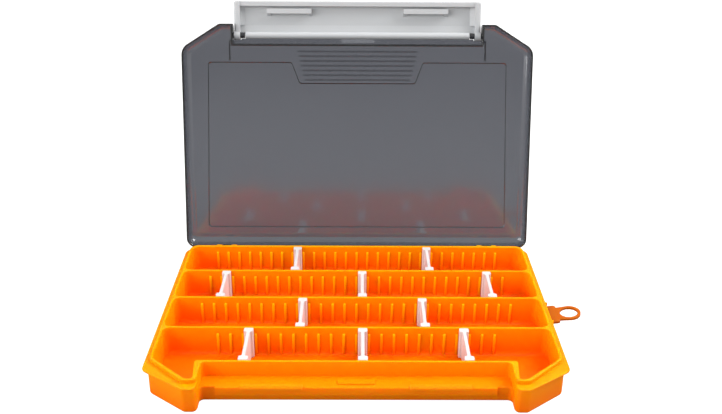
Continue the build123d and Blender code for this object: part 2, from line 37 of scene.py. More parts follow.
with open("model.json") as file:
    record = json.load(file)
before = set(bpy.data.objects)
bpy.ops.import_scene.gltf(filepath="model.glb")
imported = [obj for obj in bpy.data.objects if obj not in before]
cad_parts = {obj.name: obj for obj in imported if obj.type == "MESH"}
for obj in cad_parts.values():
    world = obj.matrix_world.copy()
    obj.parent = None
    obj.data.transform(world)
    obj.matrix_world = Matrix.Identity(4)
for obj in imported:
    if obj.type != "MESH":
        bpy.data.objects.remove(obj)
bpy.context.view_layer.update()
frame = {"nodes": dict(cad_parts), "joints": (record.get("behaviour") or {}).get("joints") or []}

MM = 0.001
PICTURE_WIDTH = 722
PICTURE_HEIGHT = 414
SENSOR_WIDTH = 36.0

# Places taken from the frame: the tray's rim and back, the lid's hinge line and how far the lid is open
DIVIDER_NODES = sorted(name for name in frame["nodes"] if name.startswith("divider_"))
JOINTS = {joint["name"]: joint for joint in frame["joints"]}
RIM_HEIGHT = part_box("tray")[1].z
HINGE = Vector(JOINTS["lid_hinge"]["pos_m"])
OPEN_ANGLE = math.radians(-JOINTS["lid_hinge"]["range_deg"][0])
HINGE_BEHIND_WALL = 2.4 * MM
TRAY_BACK = HINGE.y - HINGE_BEHIND_WALL


# Settings that a user would change


def colour_setting(name, description, default):
    """Colour picker with the given default."""
    return bpy.props.FloatVectorProperty(
        name=name, description=description, subtype="COLOR", size=3, min=0.0, max=1.0, default=default
    )


def length_setting(name, description, millimetres):
    """Length whose default is given in millimetres."""
    default = millimetres * MM
    return bpy.props.FloatProperty(name=name, description=description, unit="LENGTH", default=default)


def angle_setting(name, description, degrees):
    """Angle whose default is given in degrees."""
    default = math.radians(degrees)
    return bpy.props.FloatProperty(name=name, description=description, unit="ROTATION", default=default)


def power_setting(name, description, watts):
    """Power of a light, whose default is given in watts."""
    return bpy.props.FloatProperty(name=name, description=description, unit="POWER", default=watts)


class BoxColours(bpy.types.PropertyGroup):
    tray: colour_setting("Tray", "Colour of the tray's plastic at its rim", (1.0, 0.315, 0.0))
    # The tray foot colour is painted shade: the tray's orange darkened and reddened near the table, where
    # less light reaches.
    tray_foot_shade: colour_setting("Tray foot", "Colour of the tray's plastic near the table", (1.0, 0.16, 0.0))
    # The rib colour is painted light: the tray's orange made yellower on the ribs, for the light that the
    # thin ribs catch and let through.
    rib: colour_setting("Ribs", "Colour of the divider ribs in the tray", (1.0, 0.42, 0.0))
    lid: colour_setting("Lid", "Tint of the see-through lid's surface", (0.285, 0.292, 0.31))
    smoke: colour_setting("Smoke", "Colour that the lid's plastic lets through with depth", (0.0, 0.02, 0.10))
    smoke_density: bpy.props.FloatProperty(
        name="Smoke density",
        description="How fast the lid's plastic darkens, per metre of depth",
        default=900.0,
    )
    # The lid line colour is painted shade: near black, for the dark line that the clear lid shows along its
    # panel's step.
    lid_edge_shade: colour_setting("Lid line", "Colour of the line round the lid's panel", (0.01, 0.011, 0.012))
    latch: colour_setting("Latch", "Colour of the latch bar", (0.52, 0.53, 0.54))
    divider: colour_setting("Dividers", "Colour of the loose dividers", (0.66, 0.63, 0.63))
    loop: colour_setting("Hang loop", "Colour of the hang loop", (0.48, 0.105, 0.002))
    pin: colour_setting("Hinge pins", "Colour of the steel pins", (0.55, 0.55, 0.57))


class BoxSizes(bpy.types.PropertyGroup):
    edge_radius: length_setting("Edge radius", "Rounding of the moulded edges", 0.45)
    rib_pitch: length_setting("Rib pitch", "Distance from one divider rib to the next", 8.69)
    rib_width: length_setting("Rib width", "Width of a divider rib", 1.85)
    rib_proud: length_setting("Rib height", "How far a divider rib stands out of its wall", 1.45)
    rib_round: length_setting("Rib rounding", "Radius of a divider rib's corners", 0.7)
    rib_top_drop: length_setting("Rib top", "Distance of the ribs' tops below the rim", 4.9)
    row_width: length_setting("Row width", "Clear width of a row of compartments", 36.3)
    row_step: length_setting("Row step", "Distance from one row to the next", 37.9)
    back_wall: length_setting("Back wall", "Thickness of the tray's back wall", 2.4)
    floor_thick: length_setting("Floor", "Thickness of the tray's floor", 1.2)
    row_count: bpy.props.IntProperty(name="Rows", description="Rows of compartments", default=4)
    ribs_a_side: bpy.props.IntProperty(name="Ribs", description="Ribs on each side of the middle", default=13)
    front_ribs_a_side: bpy.props.IntProperty(
        name="Front ribs", description="Ribs on each side of the middle in the front row", default=11
    )
    panel_edge_radius: length_setting("Panel edge", "Radius of the line round the lid's raised panel", 0.45)
    panel_corner: length_setting("Panel corner", "Rounding of the corners of the lid's panel", 2.4)
    panel_level: length_setting("Panel level", "Height of the panel's slope above the table, lid shut", 30.6)
    panel_back: length_setting("Panel back", "Distance of the panel's back edge from the tray's back", 11.8)
    panel_front: length_setting("Panel front", "Distance of its front edge from the tray's back", 147.45)
    panel_back_half: length_setting("Panel back width", "Half the panel's width at its back edge", 122.2)
    panel_front_half: length_setting("Panel front width", "Half the panel's width at its front edge", 119.6)
    panel_notch_depth: length_setting("Panel notch depth", "Depth of the notch for the grip ribs", 16.8)
    panel_notch_back_half: length_setting("Notch back width", "Half the notch's width at its back", 46.3)
    panel_notch_front_half: length_setting("Notch front width", "Half the notch's width at its front", 52.6)
    panel_bow: angle_setting("Panel bow", "Angle by which the panel leans where it mirrors the tray", 6.7)


class StageSettings(bpy.types.PropertyGroup):
    camera_distance: length_setting("Camera distance", "Distance in front of the tray's back", 605.6)
    camera_rise: length_setting("Camera rise", "Height of the camera above the tray's rim", 336.1)
    camera_pitch: angle_setting("Camera pitch", "Angle by which the camera looks down", 22.58)
    camera_roll: angle_setting("Camera roll", "Turn of the camera about its line of sight", -0.33)
    camera_yaw: angle_setting("Camera yaw", "Turn of the camera to the side", 0.29)
    focal_pixels: bpy.props.FloatProperty(
        name="Focal length in pixels",
        description="Focal length of the camera in pixels of the picture",
        default=843.7,
    )
    centre_x: bpy.props.FloatProperty(
        name="Optical centre X",
        description="Column of the picture where the line of sight meets it",
        default=361.0,
    )
    centre_y: bpy.props.FloatProperty(
        name="Optical centre Y",
        description="Row of the picture where the line of sight meets it",
        default=150.0,
    )
    side_power: power_setting("Side light", "Power of the low soft box on the left", 7.5)
    high_power: power_setting("High light", "Power of the soft box high on the right", 22.0)
    back_power: power_setting("Back light", "Power of the long soft box above and behind the box", 4.5)
    fill_power: power_setting("Fill light", "Power of the light in front of the box on the left", 10.0)
    world_strength: bpy.props.FloatProperty(
        name="Surroundings",
        description="Strength of the light from all round",
        default=0.68,
    )


# Node helpers


def new_tree(name, kind, inputs, outputs):
    """Empty node group with typed inputs and outputs."""
    tree = bpy.data.node_groups.new(name, kind)
    for label, socket_type, default in inputs:
        socket = tree.interface.new_socket(name=label, in_out="INPUT", socket_type=socket_type)
        if default is not None:
            socket.default_value = default
    for label, socket_type in outputs:
        tree.interface.new_socket(name=label, in_out="OUTPUT", socket_type=socket_type)
    return tree, tree.nodes.new("NodeGroupInput"), tree.nodes.new("NodeGroupOutput")


def feed(tree, socket, value):
    """Links a socket to another, or sets it to a constant."""
    if isinstance(value, bpy.types.NodeSocket):
        tree.links.new(value, socket)
    else:
        socket.default_value = value


def math_node(tree, operation, first, second=0.0):
    """Math node fed by sockets or numbers."""
    node = tree.nodes.new("ShaderNodeMath")
    node.operation = operation
    feed(tree, node.inputs[0], first)
    feed(tree, node.inputs[1], second)
    return node.outputs[0]


def vector_node(tree, operation, first, second):
    """Vector math node with a vector result."""
    node = tree.nodes.new("ShaderNodeVectorMath")
    node.operation = operation
    feed(tree, node.inputs[0], first)
    feed(tree, node.inputs[1], second)
    return node.outputs["Vector"]


def noise_node(tree, vector, scale, detail):
    """Noise texture on a vector."""
    node = tree.nodes.new("ShaderNodeTexNoise")
    node.inputs["Detail"].default_value = detail
    tree.links.new(vector, node.inputs["Vector"])
    feed(tree, node.inputs["Scale"], scale)
    return node.outputs["Fac"]


# Materials


def moulded_finish_group():
    """Fine grain, soft tone changes and faint scuffs of moulded plastic."""
    tree, given, made = new_tree(
        "moulded_finish",
        "ShaderNodeTree",
        (
            ("Colour", "NodeSocketColor", (0.8, 0.8, 0.8, 1.0)),
            ("Tone Change", "NodeSocketFloat", 0.08),
            ("Roughness", "NodeSocketFloat", 0.35),
            ("Roughness Change", "NodeSocketFloat", 0.12),
            ("Grain Scale", "NodeSocketFloat", 1800.0),
            ("Tone Scale", "NodeSocketFloat", 22.0),
            ("Scuff Scale", "NodeSocketFloat", 160.0),
        ),
        (
            ("Colour", "NodeSocketColor"),
            ("Roughness", "NodeSocketFloat"),
            ("Height", "NodeSocketFloat"),
        ),
    )
    place = tree.nodes.new("ShaderNodeTexCoord").outputs["Object"]
    broad = noise_node(tree, place, given.outputs["Tone Scale"], 2.0)
    grain = noise_node(tree, place, given.outputs["Grain Scale"], 3.0)
    swing = math_node(tree, "SUBTRACT", broad, 0.5)
    tone = math_node(tree, "MULTIPLY", swing, given.outputs["Tone Change"])
    value = math_node(tree, "ADD", tone, 1.0)
    shade = tree.nodes.new("ShaderNodeHueSaturation")
    tree.links.new(given.outputs["Colour"], shade.inputs["Color"])
    tree.links.new(value, shade.inputs["Value"])
    tree.links.new(shade.outputs["Color"], made.inputs["Colour"])
    scuffs = noise_node(tree, place, given.outputs["Scuff Scale"], 4.0)
    scuff_swing = math_node(tree, "SUBTRACT", scuffs, 0.5)
    scuff_part = math_node(tree, "MULTIPLY", scuff_swing, given.outputs["Roughness Change"])
    rough = math_node(tree, "ADD", scuff_part, given.outputs["Roughness"])
    tree.links.new(rough, made.inputs["Roughness"])
    tree.links.new(grain, made.inputs["Height"])
    return tree


def painted_foot_shade_group():
    """Painted shade: colour that deepens from the rim of a tray to its foot, standing for the light that
    falls off towards the table.
    """
    tree, given, made = new_tree(
        "painted_foot_shade",
        "ShaderNodeTree",
        (
            ("Rim Colour", "NodeSocketColor", (1.0, 0.315, 0.0, 1.0)),
            ("Shaded Foot Colour", "NodeSocketColor", (1.0, 0.16, 0.0, 1.0)),
            ("Rim Height", "NodeSocketFloat", 23.0 * MM),
        ),
        (("Colour", "NodeSocketColor"),),
    )
    place = tree.nodes.new("ShaderNodeTexCoord").outputs["Object"]
    apart = tree.nodes.new("ShaderNodeSeparateXYZ")
    tree.links.new(place, apart.inputs["Vector"])
    share = math_node(tree, "DIVIDE", apart.outputs["Z"], given.outputs["Rim Height"])
    mix = tree.nodes.new("ShaderNodeMix")
    mix.data_type = "RGBA"
    tree.links.new(share, mix.inputs["Factor"])
    tree.links.new(given.outputs["Shaded Foot Colour"], mix.inputs["A"])
    tree.links.new(given.outputs["Rim Colour"], mix.inputs["B"])
    tree.links.new(mix.outputs["Result"], made.inputs["Colour"])
    return tree


def bowed_sheet_group():
    """Normal of a large thin panel that bows a little, so that it mirrors what lies at its foot."""
    tree, given, made = new_tree(
        "bowed_sheet",
        "ShaderNodeTree",
        (
            ("Normal", "NodeSocketVector", (0.0, 0.0, 1.0)),
            ("Face", "NodeSocketVector", (0.0, -1.0, 0.0)),
            ("Lean", "NodeSocketVector", (0.0, 0.0, 0.0)),
            ("Least Facing", "NodeSocketFloat", 0.98),
        ),
        (("Normal", "NodeSocketVector"),),
    )
    to_object = tree.nodes.new("ShaderNodeVectorTransform")
    to_object.vector_type = "NORMAL"
    to_object.convert_from = "WORLD"
    to_object.convert_to = "OBJECT"
    tree.links.new(given.outputs["Normal"], to_object.inputs[0])
    facing = tree.nodes.new("ShaderNodeVectorMath")
    facing.operation = "DOT_PRODUCT"
    tree.links.new(to_object.outputs[0], facing.inputs[0])
    tree.links.new(given.outputs["Face"], facing.inputs[1])
    on_face = math_node(tree, "GREATER_THAN", facing.outputs["Value"], given.outputs["Least Facing"])
    scale = tree.nodes.new("ShaderNodeVectorMath")
    scale.operation = "SCALE"
    tree.links.new(given.outputs["Lean"], scale.inputs[0])
    tree.links.new(on_face, scale.inputs["Scale"])
    leaned = vector_node(tree, "ADD", to_object.outputs[0], scale.outputs["Vector"])
    to_world = tree.nodes.new("ShaderNodeVectorTransform")
    to_world.vector_type = "NORMAL"
    to_world.convert_from = "OBJECT"
    to_world.convert_to = "WORLD"
    tree.links.new(leaned, to_world.inputs[0])
    tree.links.new(to_world.outputs[0], made.inputs["Normal"])
    return tree


def plastic_look(tone=0.05, roughness=0.36, scuff=0.10, grain=1500.0, bump=0.2, **shader):
    """One plastic's settings, with the Principled sockets that stay the same all over."""
    return {
        "Tone Change": tone,
        "Roughness": roughness,
        "Roughness Change": scuff,
        "Grain Scale": grain,
        "bump": bump,
        "shader": {key.replace("_", " "): value for key, value in shader.items()},
    }


def finish_group():
    """The shared moulded finish, built once."""
    return bpy.data.node_groups.get("moulded_finish") or moulded_finish_group()


def plastic_material(name, colour, look):
    """Moulded plastic: the finish group feeds a Principled shader whose edges are rounded by a bevel."""
    material = bpy.data.materials.new(name)
    material.use_nodes = True
    tree = material.node_tree
    shader = tree.nodes["Principled BSDF"]
    group = tree.nodes.new("ShaderNodeGroup")
    group.name = "Finish"
    group.node_tree = finish_group()
    group.inputs["Colour"].default_value = (*colour, 1.0)
    for label in ("Tone Change", "Roughness", "Roughness Change", "Grain Scale"):
        group.inputs[label].default_value = look[label]
    tree.links.new(group.outputs["Colour"], shader.inputs["Base Color"])
    tree.links.new(group.outputs["Roughness"], shader.inputs["Roughness"])
    bevel = tree.nodes.new("ShaderNodeBevel")
    bevel.samples = 6
    bevel.inputs["Radius"].default_value = bpy.context.scene.box_sizes.edge_radius
    bump = tree.nodes.new("ShaderNodeBump")
    bump.name = "Grain"
    bump.inputs["Strength"].default_value = look["bump"]
    bump.inputs["Distance"].default_value = 0.02 * MM
    tree.links.new(group.outputs["Height"], bump.inputs["Height"])
    tree.links.new(bevel.outputs["Normal"], bump.inputs["Normal"])
    tree.links.new(bump.outputs["Normal"], shader.inputs["Normal"])
    for label, value in look["shader"].items():
        shader.inputs[label].default_value = value
    return material


def tray_plastic():
    """Orange plastic that lets some light through its thin walls, with painted shade that deepens its colour
    towards the foot.
    """
    look = plastic_look(
        tone=0.06,
        roughness=0.40,
        Subsurface_Weight=0.85,
        Subsurface_Radius=(1.0, 0.35, 0.01),
        Subsurface_Scale=5.0 * MM,
        Specular_IOR_Level=0.08,
        IOR=1.49,
    )
    colours = bpy.context.scene.box_colours
    material = plastic_material("tray_plastic", colours.tray, look)
    tree = material.node_tree
    # The tone node paints shade: the colour runs from the rim colour down to the darker, redder foot shade
    # colour.
    tone = tree.nodes.new("ShaderNodeGroup")
    tone.node_tree = painted_foot_shade_group()
    tone.inputs["Rim Colour"].default_value = (*colours.tray, 1.0)
    tone.inputs["Shaded Foot Colour"].default_value = (*colours.tray_foot_shade, 1.0)
    tone.inputs["Rim Height"].default_value = RIM_HEIGHT
    tree.links.new(tone.outputs["Colour"], tree.nodes["Finish"].inputs["Colour"])
    return material


def rib_lit_plastic():
    """The tray's plastic on its thin ribs, painted lighter than the walls for the light that the ribs catch
    and let through.
    """
    look = plastic_look(tone=0.06, roughness=0.40, Specular_IOR_Level=0.08, IOR=1.49)
    return plastic_material("rib_lit_plastic", bpy.context.scene.box_colours.rib, look)


def lid_plastic():
    """Smoke-grey clear plastic, which darkens with depth and whose inner face mirrors the tray."""
    colours = bpy.context.scene.box_colours
    look = plastic_look(
        roughness=0.13,
        scuff=0.04,
        grain=900.0,
        bump=0.03,
        Transmission_Weight=0.97,
        Specular_IOR_Level=1.0,
        IOR=1.8,
    )
    material = plastic_material("lid_plastic", colours.lid, look)
    tree = material.node_tree
    smoke = tree.nodes.new("ShaderNodeVolumeAbsorption")
    smoke.inputs["Color"].default_value = (*colours.smoke, 1.0)
    smoke.inputs["Density"].default_value = colours.smoke_density
    tree.links.new(smoke.outputs["Volume"], tree.nodes["Material Output"].inputs["Volume"])
    bow = tree.nodes.new("ShaderNodeGroup")
    bow.node_tree = bowed_sheet_group()
    lean_back = OPEN_ANGLE - math.pi / 2
    bow_angle = bpy.context.scene.box_sizes.panel_bow
    up = Vector((0.0, math.sin(lean_back), math.cos(lean_back)))
    face = Vector((0.0, -math.cos(lean_back), math.sin(lean_back)))
    bow.inputs["Face"].default_value = face
    bow.inputs["Lean"].default_value = -up * math.tan(bow_angle)
    grain = tree.nodes["Grain"]
    tree.links.new(grain.inputs["Normal"].links[0].from_socket, bow.inputs["Normal"])
    tree.links.new(bow.outputs["Normal"], grain.inputs["Normal"])
    return material


def lid_edge_shade_plastic():
    """Near-black plastic for the fine line round the lid's panel, painted shade for the dark line that the
    clear lid's step shows.
    """
    look = plastic_look(roughness=0.5, scuff=0.04, grain=900.0, bump=0.03, Specular_IOR_Level=0.1, IOR=1.5)
    return plastic_material("lid_edge_shade_plastic", bpy.context.scene.box_colours.lid_edge_shade, look)


# Mesh helpers


def object_from(name, points, faces):
    """Object made from points and faces, linked to the scene."""
    mesh = bpy.data.meshes.new(name)
    mesh.from_pydata(points, [], faces)
    mesh.update()
    thing = bpy.data.objects.new(name, mesh)
    bpy.context.scene.collection.objects.link(thing)
    return thing


def rounded_nose(half_width, proud, radius, root, steps=5):
    """Open outline of a rib seen along its length, from its left root round its nose to its right root."""
    corner_x = half_width - radius
    corner_y = proud - radius
    angles = [math.pi / 2 * step / steps for step in range(steps + 1)]
    arc = [(corner_x + radius * math.cos(angle), corner_y + radius * math.sin(angle)) for angle in angles]
    right = [(half_width, -root)] + arc
    left = [(-x, y) for x, y in reversed(right)]
    return left + right


def lofted(name, rings):
    """Closed solid over rings that have the same number of points."""
    count = len(rings[0])
    points = [point for ring in rings for point in ring]
    faces = []
    for level in range(len(rings) - 1):
        low = level * count
        for step in range(count):
            turn = (step + 1) % count
            faces.append((low + step, low + turn, low + count + turn, low + count + step))
    faces.append(tuple(reversed(range(count))))
    top = (len(rings) - 1) * count
    faces.append(tuple(range(top, top + count)))
    thing = object_from(name, points, faces)
    for polygon in thing.data.polygons:
        polygon.use_smooth = len(polygon.vertices) == 4
    return thing


def rib_form(sizes):
    """One upright divider rib with a round nose and a domed top; it stands out of a wall towards -Y."""
    root = 0.5 * MM
    height = RIM_HEIGHT - sizes.rib_top_drop - sizes.floor_thick
    dome = sizes.rib_round
    outline = rounded_nose(sizes.rib_width / 2, sizes.rib_proud, sizes.rib_round, root)
    levels = [(-root, 1.0), (height - dome, 1.0)]
    dome_steps = 4
    for step in range(1, dome_steps + 1):
        angle = math.pi / 2 * step / (dome_steps + 1)
        levels.append((height - dome + dome * math.sin(angle), math.cos(angle)))
    rings = []
    for z, share in levels:
        width_share = (1 + share) / 2
        rings.append([(-x * width_share, -y * share if y > 0 else -y, z) for x, y in outline])
    return lofted("rib_form", rings)


# Geometry Nodes


def line_of_points(tree, count, start, offset):
    """Mesh Line node whose points lie one offset apart."""
    line = tree.nodes.new("GeometryNodeMeshLine")
    line.mode = "OFFSET"
    feed(tree, line.inputs["Count"], count)
    feed(tree, line.inputs["Start Location"], start)
    feed(tree, line.inputs["Offset"], offset)
    return line.outputs["Mesh"]


def combined(tree, x, y, z):
    """Vector from three numbers or sockets."""
    node = tree.nodes.new("ShaderNodeCombineXYZ")
    feed(tree, node.inputs["X"], x)
    feed(tree, node.inputs["Y"], y)
    feed(tree, node.inputs["Z"], z)
    return node.outputs["Vector"]


def instanced(tree, points, form, rotation=(0.0, 0.0, 0.0)):
    """Instances of a form on points."""
    node = tree.nodes.new("GeometryNodeInstanceOnPoints")
    feed(tree, node.inputs["Points"], points)
    feed(tree, node.inputs["Instance"], form)
    feed(tree, node.inputs["Rotation"], rotation)
    return node.outputs["Instances"]


def realized(tree, instances):
    """Instances turned into one mesh."""
    node = tree.nodes.new("GeometryNodeRealizeInstances")
    tree.links.new(instances, node.inputs["Geometry"])
    return node.outputs["Geometry"]


def joined(tree, *parts):
    """Several geometries as one."""
    node = tree.nodes.new("GeometryNodeJoinGeometry")
    for part in parts:
        tree.links.new(part, node.inputs["Geometry"])
    return node.outputs["Geometry"]


def painted(tree, geometry, material):
    """Geometry with one material."""
    node = tree.nodes.new("GeometryNodeSetMaterial")
    tree.links.new(geometry, node.inputs["Geometry"])
    tree.links.new(material, node.inputs["Material"])
    return node.outputs["Geometry"]


def form_geometry(tree, form):
    """Mesh of the object that a form socket holds."""
    node = tree.nodes.new("GeometryNodeObjectInfo")
    tree.links.new(form, node.inputs["Object"])
    return node.outputs["Geometry"]


def facing_ribs_tree():
    """Ribs on the two long walls of several rows, which face each other across each row."""
    tree, given, made = new_tree(
        "facing_ribs",
        "GeometryNodeTree",
        (
            ("Form", "NodeSocketObject", None),
            ("Ribs", "NodeSocketInt", 27),
            ("Rib Pitch", "NodeSocketFloat", 8.69 * MM),
            ("Rows", "NodeSocketInt", 3),
            ("Row Step", "NodeSocketFloat", 37.9 * MM),
            ("Row Width", "NodeSocketFloat", 36.3 * MM),
            ("First Wall", "NodeSocketVector", (0.0, 0.0, 0.0)),
        ),
        (("Geometry", "NodeSocketGeometry"),),
    )
    wanted = given.outputs
    gaps = math_node(tree, "SUBTRACT", wanted["Ribs"], 1.0)
    half_gaps = math_node(tree, "MULTIPLY", gaps, -0.5)
    start_x = math_node(tree, "MULTIPLY", half_gaps, wanted["Rib Pitch"])
    start = combined(tree, start_x, 0.0, 0.0)
    along = line_of_points(tree, wanted["Ribs"], start, combined(tree, wanted["Rib Pitch"], 0.0, 0.0))
    step_back = math_node(tree, "MULTIPLY", wanted["Row Step"], -1.0)
    rows = line_of_points(tree, wanted["Rows"], wanted["First Wall"], combined(tree, 0.0, step_back, 0.0))
    places = realized(tree, instanced(tree, rows, along))
    form = form_geometry(tree, wanted["Form"])
    back_ribs = instanced(tree, places, form)
    across = tree.nodes.new("GeometryNodeTransform")
    tree.links.new(places, across.inputs["Geometry"])
    width_back = math_node(tree, "MULTIPLY", wanted["Row Width"], -1.0)
    feed(tree, across.inputs["Translation"], combined(tree, 0.0, width_back, 0.0))
    front_ribs = instanced(tree, across.outputs["Geometry"], form, rotation=(0.0, 0.0, math.pi))
    tree.links.new(realized(tree, joined(tree, back_ribs, front_ribs)), made.inputs["Geometry"])
    return tree


def tray_ribs_tree():
    """All divider ribs: the straight rows, and the front row with its fewer ribs."""
    tree, given, made = new_tree(
        "tray_ribs",
        "GeometryNodeTree",
        (
            ("Geometry", "NodeSocketGeometry", None),
            ("Form", "NodeSocketObject", None),
            ("Ribs", "NodeSocketInt", 27),
            ("Front Ribs", "NodeSocketInt", 23),
            ("Rib Pitch", "NodeSocketFloat", 8.69 * MM),
            ("Rows", "NodeSocketInt", 4),
            ("Row Step", "NodeSocketFloat", 37.9 * MM),
            ("Row Width", "NodeSocketFloat", 36.3 * MM),
            ("First Wall", "NodeSocketVector", (0.0, 0.0, 0.0)),
            ("Material", "NodeSocketMaterial", None),
        ),
        (("Geometry", "NodeSocketGeometry"),),
    )
    wanted = given.outputs
    straight_rows = math_node(tree, "SUBTRACT", wanted["Rows"], 1.0)
    shift = math_node(tree, "MULTIPLY", straight_rows, wanted["Row Step"])
    shift_back = math_node(tree, "MULTIPLY", shift, -1.0)
    front_wall = vector_node(tree, "ADD", wanted["First Wall"], combined(tree, 0.0, shift_back, 0.0))
    facing = facing_ribs_tree()
    parts = []
    for ribs, rows, wall in (
        (wanted["Ribs"], straight_rows, wanted["First Wall"]),
        (wanted["Front Ribs"], 1, front_wall),
    ):
        group = tree.nodes.new("GeometryNodeGroup")
        group.node_tree = facing
        for label in ("Form", "Rib Pitch", "Row Step", "Row Width"):
            tree.links.new(wanted[label], group.inputs[label])
        feed(tree, group.inputs["Ribs"], ribs)
        feed(tree, group.inputs["Rows"], rows)
        feed(tree, group.inputs["First Wall"], wall)
        parts.append(group.outputs["Geometry"])
    ribs = painted(tree, realized(tree, joined(tree, *parts)), wanted["Material"])
    tree.links.new(ribs, made.inputs["Geometry"])
    return tree


def edge_line_tree():
    """Thin round line along a closed outline whose corners are rounded."""
    tree, given, made = new_tree(
        "edge_line",
        "GeometryNodeTree",
        (
            ("Geometry", "NodeSocketGeometry", None),
            ("Outline", "NodeSocketObject", None),
            ("Line Radius", "NodeSocketFloat", 0.45 * MM),
            ("Corner Radius", "NodeSocketFloat", 2.4 * MM),
            ("Corner Steps", "NodeSocketInt", 6),
            ("Sides", "NodeSocketInt", 8),
            ("Material", "NodeSocketMaterial", None),
        ),
        (("Geometry", "NodeSocketGeometry"),),
    )
    wanted = given.outputs
    path = tree.nodes.new("GeometryNodeMeshToCurve")
    tree.links.new(form_geometry(tree, wanted["Outline"]), path.inputs["Mesh"])
    fillet = tree.nodes.new("GeometryNodeFilletCurve")
    fillet.mode = "POLY"
    tree.links.new(path.outputs["Curve"], fillet.inputs["Curve"])
    tree.links.new(wanted["Corner Steps"], fillet.inputs["Count"])
    tree.links.new(wanted["Corner Radius"], fillet.inputs["Radius"])
    circle = tree.nodes.new("GeometryNodeCurvePrimitiveCircle")
    tree.links.new(wanted["Sides"], circle.inputs["Resolution"])
    tree.links.new(wanted["Line Radius"], circle.inputs["Radius"])
    tube = tree.nodes.new("GeometryNodeCurveToMesh")
    tree.links.new(fillet.outputs["Curve"], tube.inputs["Curve"])
    tree.links.new(circle.outputs["Curve"], tube.inputs["Profile Curve"])
    smooth = tree.nodes.new("GeometryNodeSetShadeSmooth")
    tree.links.new(tube.outputs["Mesh"], smooth.inputs["Geometry"])
    line = painted(tree, realized(tree, smooth.outputs["Geometry"]), wanted["Material"])
    tree.links.new(line, made.inputs["Geometry"])
    return tree


def made_by_nodes(name, tree, values):
    """Plain mesh object made by a Geometry Nodes tree with the given inputs."""
    carrier = bpy.data.objects.new(f"{name}_carrier", bpy.data.meshes.new(f"{name}_carrier"))
    bpy.context.scene.collection.objects.link(carrier)
    modifier = carrier.modifiers.new(name, "NODES")
    modifier.node_group = tree
    sockets = {item.name: item.identifier for item in tree.interface.items_tree if item.in_out == "INPUT"}
    for label, value in values.items():
        modifier[sockets[label]] = value
    graph = bpy.context.evaluated_depsgraph_get()
    mesh = bpy.data.meshes.new_from_object(carrier.evaluated_get(graph), depsgraph=graph)
    mesh.name = name
    carrier.modifiers.remove(modifier)
    bpy.data.objects.remove(carrier)
    piece = bpy.data.objects.new(name, mesh)
    bpy.context.scene.collection.objects.link(piece)
    return piece


def opened_lid(x, reach, height):
    """Carries a point of the shut lid, given by its reach from the tray's back, to the open lid."""
    closed = Vector((x, TRAY_BACK - reach, height))
    return HINGE + Matrix.Rotation(-OPEN_ANGLE, 3, "X") @ (closed - HINGE)


def panel_outline(sizes):
    """Closed line of edges along the middle of the slope round the lid's raised panel."""
    half_line = [
        (sizes.panel_back_half, sizes.panel_back),
        (sizes.panel_front_half, sizes.panel_front),
        (sizes.panel_notch_front_half, sizes.panel_front),
        (sizes.panel_notch_back_half, sizes.panel_front - sizes.panel_notch_depth),
    ]
    corners = half_line + [(-x, reach) for x, reach in reversed(half_line)]
    points = [opened_lid(x, reach, sizes.panel_level) for x, reach in corners]
    edges = [(step, (step + 1) % len(points)) for step in range(len(points))]
    mesh = bpy.data.meshes.new("panel_outline")
    mesh.from_pydata(points, edges, [])
    outline = bpy.data.objects.new("panel_outline", mesh)
    bpy.context.scene.collection.objects.link(outline)
    return outline


def paint(node, material):
    """Puts a new material on a carried-over piece."""
    piece = frame["nodes"][node]
    piece.data.materials.clear()
    piece.data.materials.append(material)


# Pieces


class DIVIDEDBOX_OT_tray(bpy.types.Operator):
    """Give the orange tray its moulded finish and its round-nosed divider ribs"""

    bl_idname = "divided_box.tray"
    bl_label = "Tray"

    def execute(self, context):
        sizes = context.scene.box_sizes
        paint("tray", tray_plastic())
        form = rib_form(sizes)
        values = {
            "Form": form,
            "Ribs": 2 * sizes.ribs_a_side + 1,
            "Front Ribs": 2 * sizes.front_ribs_a_side + 1,
            "Rib Pitch": sizes.rib_pitch,
            "Rows": sizes.row_count,
            "Row Step": sizes.row_step,
            "Row Width": sizes.row_width,
            "First Wall": (0.0, TRAY_BACK - sizes.back_wall, sizes.floor_thick),
            "Material": rib_lit_plastic(),
        }
        ribs = made_by_nodes("tray_ribs", tray_ribs_tree(), values)
        bpy.data.objects.remove(form)
        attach(ribs, "body")
        return {"FINISHED"}


class DIVIDEDBOX_OT_lid(bpy.types.Operator):
    """Give the lid its smoke-grey see-through plastic, and a fine near-black tube round its raised panel that
    paints the shade line of the panel's step
    """

    bl_idname = "divided_box.lid"
    bl_label = "Lid"

    def execute(self, context):
        sizes = context.scene.box_sizes
        paint("lid", lid_plastic())
        outline = panel_outline(sizes)
        values = {
            "Outline": outline,
            "Line Radius": sizes.panel_edge_radius,
            "Corner Radius": sizes.panel_corner,
            "Corner Steps": 6,
            "Sides": 8,
            "Material": lid_edge_shade_plastic(),
        }
        # The tube is painted shade: a near-black line standing for the dark edge of the panel's step in the
        # clear lid.
        line = made_by_nodes("lid_panel_edge", edge_line_tree(), values)
        bpy.data.objects.remove(outline)
        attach(line, "lid")
        return {"FINISHED"}


class DIVIDEDBOX_OT_latch(bpy.types.Operator):
    """Give the latch bar its white plastic"""

    bl_idname = "divided_box.latch"
    bl_label = "Latch"

    def execute(self, context):
        look = plastic_look(
            tone=0.04,
            roughness=0.34,
            Subsurface_Weight=0.3,
            Subsurface_Radius=(1.0, 0.9, 0.8),
            Subsurface_Scale=1.5 * MM,
            IOR=1.49,
        )
        paint("latch", plastic_material("latch_plastic", context.scene.box_colours.latch, look))
        return {"FINISHED"}


